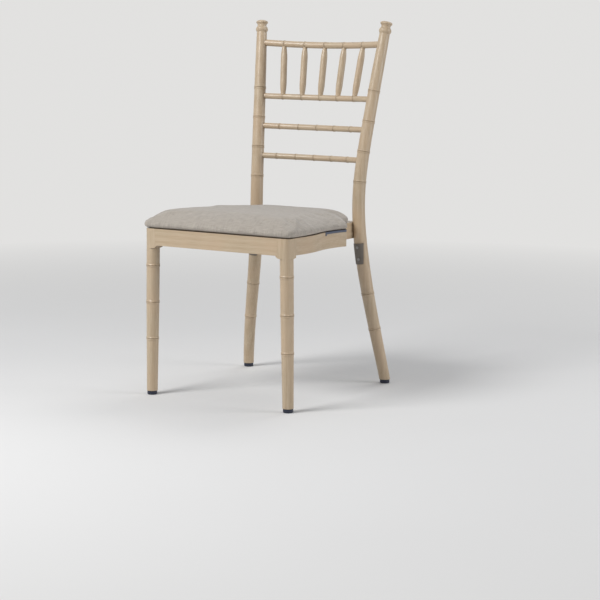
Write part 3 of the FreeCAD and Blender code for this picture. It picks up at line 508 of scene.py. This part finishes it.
def makeWeave(t):
    # One flat projection: a colour factor and a height from the place along the two threads.
    group = bpy.data.node_groups.new("weave", "ShaderNodeTree")
    group.interface.new_socket("Place", in_out="INPUT", socket_type="NodeSocketVector")
    group.interface.new_socket("Tone", in_out="OUTPUT", socket_type="NodeSocketFloat")
    group.interface.new_socket("Height", in_out="OUTPUT", socket_type="NodeSocketFloat")
    place = addNode(group, "NodeGroupInput").outputs[0]
    across, along = 1.0 / t["thread"], 1.0 / t["slub"]
    wobble = noiseOf(group, place, t["wobbleScale"], 1.0)
    wander = addNode(group, "ShaderNodeCombineXYZ", {
        axis: maths(group, "MULTIPLY", wobble, t["wobble"][axis]) for axis in (0, 1)
    }).outputs[0]
    bent = vectorMaths(group, "ADD", place, wander)
    parts = addNode(group, "ShaderNodeSeparateXYZ", {0: bent})
    waves = []
    slubs = []
    for axis, stretch in ((0, (across, along, along)), (1, (along, across, along))):
        turned = maths(group, "MULTIPLY", parts.outputs[axis], 2 * math.pi / t["thread"])
        waves.append(maths(group, "SINE", turned, 0.0))
        slubs.append(noiseOf(group, vectorMaths(group, "MULTIPLY", bent, stretch), 1.0))
    weave = maths(group, "MULTIPLY", waves[0], waves[1])
    slub = maths(group, "ADD", slubs[0], slubs[1])
    threads = maths(group, "MULTIPLY", weave, t["weaveTone"])
    tone = maths(group, "ADD", remapped(group, slub, *t["slubRange"]), threads)
    height = maths(group, "ADD", maths(group, "MULTIPLY", weave, t["weaveHeight"]), slub)
    setInputs(group, addNode(group, "NodeGroupOutput"), {0: tone, 1: height})
    return group


def makeCloth(name, t):
    # The weave is projected along the three axes and blended by the direction of the surface.
    tree, shader, material = newMaterial(name)
    place = objectPlace(tree)
    facing = addNode(tree, "ShaderNodeNewGeometry").outputs["Normal"]
    squared = vectorMaths(tree, "MULTIPLY", facing, facing)
    weights = addNode(tree, "ShaderNodeSeparateXYZ", {
        0: vectorMaths(tree, "MULTIPLY", squared, squared),
    }).outputs
    whole = maths(tree, "ADD", weights[0], maths(tree, "ADD", weights[1], weights[2]))
    parts = addNode(tree, "ShaderNodeSeparateXYZ", {0: place})
    weave = makeWeave(t)
    tone, height = 0.0, 0.0
    for axis, (first, second) in enumerate(((1, 2), (0, 2), (0, 1))):
        values = {0: parts.outputs[first], 1: parts.outputs[second]}
        flat = addNode(tree, "ShaderNodeCombineXYZ", values)
        look = addNode(tree, "ShaderNodeGroup", node_tree=weave)
        tree.links.new(flat.outputs[0], look.inputs[0])
        share = maths(tree, "DIVIDE", weights[axis], whole)
        tone = maths(tree, "ADD", maths(tree, "MULTIPLY", look.outputs[0], share), tone)
        height = maths(tree, "ADD", maths(tree, "MULTIPLY", look.outputs[1], share), height)
    patches = noiseOf(tree, place, t["cloudScale"])
    cloud = remapped(tree, patches, 0.3, 0.7, -t["cloudTone"], t["cloudTone"])
    colour = mixed(tree, maths(tree, "ADD", tone, cloud), t["dark"], t["light"])
    # painted shade in folds and creases, from ambient occlusion
    colour = mixed(tree, occlusionShade(tree, t["foldShadeReach"], t["foldShadeOpen"]), t["foldShade"], colour)
    setInputs(tree, shader, {
        "Base Color": colour,
        "Roughness": t["roughness"],
        "Sheen Weight": t["sheen"],
        "Sheen Roughness": t["sheenRoughness"],
        "Specular IOR Level": t["specular"],
        "Normal": bumped(tree, height, t["bump"], t["bumpDepth"]),
    })
    return material


linenCloth = makeCloth("linenCloth", linen)
dustCloth = makeCloth("dustCloth", {
    **linen,
    "light": (0.030, 0.030, 0.034, 1),
    "dark": (0.010, 0.010, 0.012, 1),
    "thread": 0.0009,
    "sheen": 0.1,
})
dress("dust_cover", dustCloth)
print("cloths made")


# Seat pad: taken from the outside of the frame's cover, then stuffed as cloth

cushion = {
    "around": 240,
    "lowest": 0.0011,       # underside above the frame, over the dust cover
    "sideStep": 0.0026,
    "sideTop": 0.60,        # share of the pad's height where the sides end
    "topRings": 16,
    "voxel": 0.005,
    # heights above the frame where smoothing starts and is full, its least share, and passes
    "relaxing": ((0.006, 0.016, 0.1, 16), (0.018, 0.032, 0.0, 90)),
    "cloth": {
        "quality": 6,
        "mass": 0.3,
        "tension_stiffness": 12,
        "compression_stiffness": 12,
        "shear_stiffness": 6,
        "bending_stiffness": 0.4,
        "use_pressure": True,
        "uniform_pressure_force": 4.0,
        "shrink_min": -0.02,
    },
    "frames": 20,
    "held": 0.006,          # the fabric is held this far above the frame
    "freed": 0.016,         # and quite free from here on
    "mostMove": 0.0026,
    "above": 0.1,           # where the rays for the top start
    "dent": 0.0007,
    "dentScale": (14, 14, 10),
    "dentStart": 0.004,
    "dentFull": 0.02,
    "pleatDepth": 0.0026,
    "pleatWidth": 0.0026,
    "pleatHeight": 0.024,
    "cornerReach": 0.030,
    "cornerSide": 0.975,    # the pleat's place, as shares of the half width and of the reach
    "cornerBack": 0.3,
}


def padSurface(c):
    # Rings of points on the outside of the cover, found by rays towards the pad's middle.
    outside = BVHTree.FromPolygons(
        [vert.co for vert in nodes["seat_cover"].data.vertices],
        [face.vertices for face in nodes["seat_cover"].data.polygons],
    )
    middle = (padLow + padHigh) / 2
    middle.z = frameTop + c["lowest"]
    height = padHigh.z - frameTop
    levels = int(height * c["sideTop"] / c["sideStep"])
    far = (padHigh - padLow).length
    rings = []
    for level in range(levels):
        source = Vector((middle.x, middle.y, frameTop + c["lowest"] + level * c["sideStep"]))
        ring = []
        for step in range(c["around"]):
            angle = 2 * math.pi * step / c["around"]
            away = Vector((math.cos(angle), math.sin(angle), 0))
            ring.append(outside.ray_cast(source + away * far, -away)[0])
        rings.append(ring)
    above = padHigh.z + c["above"]
    down = Vector((0, 0, -1))
    last = rings[-1]
    for ring in range(1, c["topRings"] + 1):
        share = 1 - ring / (c["topRings"] + 1)
        row = []
        for point in last:
            x = middle.x + (point.x - middle.x) * share
            y = middle.y + (point.y - middle.y) * share
            row.append(outside.ray_cast(Vector((x, y, above)), down)[0])
        rings.append(row)
    crown = outside.ray_cast(Vector((middle.x, middle.y, above)), down)[0]
    return rings, crown


def padMesh(rings, crown):
    mesh = bmesh.new()
    rows = [[mesh.verts.new(point) for point in ring] for ring in rings]
    for low, high in zip(rows, rows[1:]):
        for index in range(len(low)):
            following = (index + 1) % len(low)
            mesh.faces.new((low[index], low[following], high[following], high[index]))
    top = mesh.verts.new(crown)
    for index in range(len(rows[-1])):
        mesh.faces.new((rows[-1][index], rows[-1][(index + 1) % len(rows[-1])], top))
    mesh.faces.new(list(reversed(rows[0])))
    return mesh


def applied(piece):
    # Gives the piece the mesh that its modifiers show now.
    shown = piece.evaluated_get(bpy.context.evaluated_depsgraph_get())
    data = bpy.data.meshes.new_from_object(shown)
    piece.modifiers.clear()
    piece.data = data


def soften(piece, c):
    # Rounds the shoulders, then the crown over a wider reach; the lower edge stays as it is.
    for start, end, least, passes in c["relaxing"]:
        free = piece.vertex_groups.new(name="free")
        for vert in piece.data.vertices:
            weight = (vert.co.z - frameTop - start) / (end - start)
            free.add([vert.index], max(least, min(1.0, weight)), "REPLACE")
        relax = piece.modifiers.new("relax", "SMOOTH")
        relax.factor = 0.5
        relax.iterations = passes
        relax.vertex_group = "free"
        applied(piece)
        piece.vertex_groups.clear()


def stuff(piece, c):
    # A short cloth simulation under pressure, with the lower edge held.
    held = piece.vertex_groups.new(name="held")
    for vert in piece.data.vertices:
        rise = vert.co.z - frameTop
        weight = 1 - (rise - c["held"]) / (c["freed"] - c["held"])
        held.add([vert.index], max(0.0, min(1.0, weight)), "REPLACE")
    before = [vert.co.copy() for vert in piece.data.vertices]
    cloth = piece.modifiers.new("cloth", "CLOTH")
    cloth.settings.vertex_group_mass = "held"
    for key, value in c["cloth"].items():
        setattr(cloth.settings, key, value)
    cloth.settings.effector_weights.gravity = 0
    cloth.point_cache.frame_start = 1
    cloth.point_cache.frame_end = c["frames"]
    scene = bpy.context.scene
    for number in range(1, c["frames"] + 1):
        scene.frame_set(number)
    applied(piece)
    scene.frame_set(1)
    for vert, start in zip(piece.data.vertices, before):
        move = vert.co - start
        if move.length > c["mostMove"]:
            vert.co = start + move * (c["mostMove"] / move.length)


def shapeCorners(piece, c):
    # A pleat at each front corner, and a slow unevenness over the whole pad.
    front = padLow.y
    for vert in piece.data.vertices:
        place = vert.co
        rise = place.z - frameTop
        for side in (-1, 1):
            corner = Vector((
                side * padHigh.x * c["cornerSide"], front + c["cornerReach"] * c["cornerBack"],
            ))
            inward = Vector((-side, 1.0)).normalized()
            flat = Vector((place.x, place.y)) - corner
            deep = flat.dot(inward)
            aside = abs(flat.dot(Vector((inward.y, -inward.x))))
            if deep < c["cornerReach"] and rise < c["pleatHeight"]:
                fade = 1 - max(0.0, rise) / c["pleatHeight"]
                push = c["pleatDepth"] * math.exp(-(aside / c["pleatWidth"]) ** 2) * fade
                place.x += inward.x * push
                place.y += inward.y * push
        if rise > c["dentStart"]:
            scaled = [part * scale for part, scale in zip(place, c["dentScale"])]
            wave = noise.noise(Vector(scaled))
            place.z += c["dent"] * wave * min(1.0, (rise - c["dentStart"]) / c["dentFull"])


def makePad(c):
    pad = finished("seat_pad", padMesh(*padSurface(c)), linenCloth)
    remesh = pad.modifiers.new("remesh", "REMESH")
    remesh.mode = "VOXEL"
    remesh.voxel_size = c["voxel"]
    applied(pad)
    soften(pad, c)
    print("pad remeshed:", len(pad.data.vertices), "points")
    stuff(pad, c)
    print("pad stuffed")
    rounder = pad.modifiers.new("rounder", "SUBSURF")
    rounder.levels = 1
    rounder.render_levels = 1
    applied(pad)
    shapeCorners(pad, c)
    for face in pad.data.polygons:
        face.use_smooth = True
    pad.data.materials.clear()
    pad.data.materials.append(linenCloth)
    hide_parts("seat_cover", "seat_foam")
    return pad


seatPad = makePad(cushion)
print("pad made:", len(seatPad.data.polygons), "faces")


# Camera, fitted to the feet, rails and finials of the chair

view = {
    "place": (2.5718, -3.9692, 0.9436),
    "turn": 32.08,      # degrees that the view turns left from facing the chair's rear
    "dip": 8.653,       # degrees below level
    "roll": 0.314,
    "lens": 114.0,
    "sensor": 36.0,
}


def makeCamera(v):
    turn, dip, roll = (math.radians(v[key]) for key in ("turn", "dip", "roll"))
    level = math.cos(dip)
    forward = Vector((-math.sin(turn) * level, math.cos(turn) * level, -math.sin(dip)))
    right = Vector((math.cos(turn), math.sin(turn), 0))
    up = right.cross(forward)
    across = right * math.cos(roll) + up * math.sin(roll)
    above = up * math.cos(roll) - right * math.sin(roll)
    data = bpy.data.cameras.new("camera")
    data.lens = v["lens"]
    data.sensor_width = v["sensor"]
    camera = placed("camera", data)
    turned = Matrix((across, above, -forward)).transposed()
    camera.matrix_world = Matrix.Translation(Vector(v["place"])) @ turned.to_4x4()
    bpy.context.scene.camera = camera


makeCamera(view)
print("camera made")


# Studio: a plain pale floor, a broad key light from the front left, a fill light from the
# right and one from behind

studio = {
    "aim": (0.0, 0.0, 0.45),
    "lights": {
        # azimuth and elevation of the light as seen from the chair, distance, size, watts
        "key": (-22, 40, 3.2, 1.4, 78),
        "fill": (108, 14, 3.4, 1.8, 36),
        "back": (175, 55, 3.2, 1.6, 18),
    },
    "ambient": (0.30, 0.31, 0.33, 1),
    "pale": (0.76, 0.755, 0.745, 1),
    "floorReach": 40.0,
    "fadeStart": 0.9,       # where the floor starts to fade into the backdrop
    "fadeEnd": 3.2,
    "patchScale": 1.2,
    "patches": 0.5,
    "patchTone": 0.96,
    "floorRoughness": 0.75,
}


def makeLights(s):
    aim = Vector(s["aim"])
    for name, (azimuth, elevation, distance, extent, watts) in s["lights"].items():
        turn, rise = math.radians(azimuth), math.radians(elevation)
        level = math.cos(rise)
        away = Vector((math.sin(turn) * level, -math.cos(turn) * level, math.sin(rise)))
        data = bpy.data.lights.new(name, "AREA")
        data.shape = "DISK"
        data.size = extent
        data.energy = watts
        light = placed(name, data)
        light.location = aim + away * distance
        light.rotation_euler = away.to_track_quat("Z", "Y").to_euler()
        light.visible_camera = False


def makeFloor(s):
    # A pale floor that fades into the backdrop's colour away from the chair.
    tree, shader, material = newMaterial("floorPaint")
    place = objectPlace(tree)
    patch = remapped(tree, noiseOf(tree, place, s["patchScale"]), 0.3, 0.7, 0.0, s["patches"])
    tone = mixed(tree, patch, s["pale"], tuple(s["patchTone"] * part for part in s["pale"]))
    setInputs(tree, shader, {"Base Color": tone, "Roughness": s["floorRoughness"]})
    glow = addNode(tree, "ShaderNodeEmission", {"Color": s["pale"], "Strength": 1.0})
    reach = addNode(tree, "ShaderNodeVectorMath", {0: place}, operation="LENGTH").outputs["Value"]
    rays = addNode(tree, "ShaderNodeLightPath")
    fade = remapped(tree, reach, s["fadeStart"], s["fadeEnd"])
    seen = maths(tree, "MULTIPLY", fade, rays.outputs["Is Camera Ray"])
    both = addNode(tree, "ShaderNodeMixShader", {0: seen, 1: shader.outputs[0], 2: glow.outputs[0]})
    tree.links.new(both.outputs[0], tree.nodes["Material Output"].inputs["Surface"])
    sheet = bmesh.new()
    bmesh.ops.create_grid(sheet, x_segments=1, y_segments=1, size=s["floorReach"])
    data = bpy.data.meshes.new("floor")
    sheet.to_mesh(data)
    sheet.free()
    data.materials.append(material)
    placed("floor", data)


def makeWorld(s):
    # Dim light on the chair; the eye, gloss and glass see the pale backdrop.
    world = bpy.data.worlds.new("world")
    bpy.context.scene.world = world
    world.use_nodes = True
    tree = world.node_tree
    rays = addNode(tree, "ShaderNodeLightPath")
    direct = maths(tree, "ADD", rays.outputs["Is Camera Ray"], rays.outputs["Is Glossy Ray"])
    direct = maths(tree, "ADD", direct, rays.outputs["Is Transmission Ray"])
    direct = maths(tree, "MINIMUM", direct, 1.0)
    setInputs(tree, tree.nodes["Background"], {
        "Color": mixed(tree, direct, s["ambient"], s["pale"]),
        "Strength": 1.0,
    })


makeLights(studio)
makeFloor(studio)
makeWorld(studio)
bpy.context.scene.view_settings.view_transform = "Standard"
print("studio made")
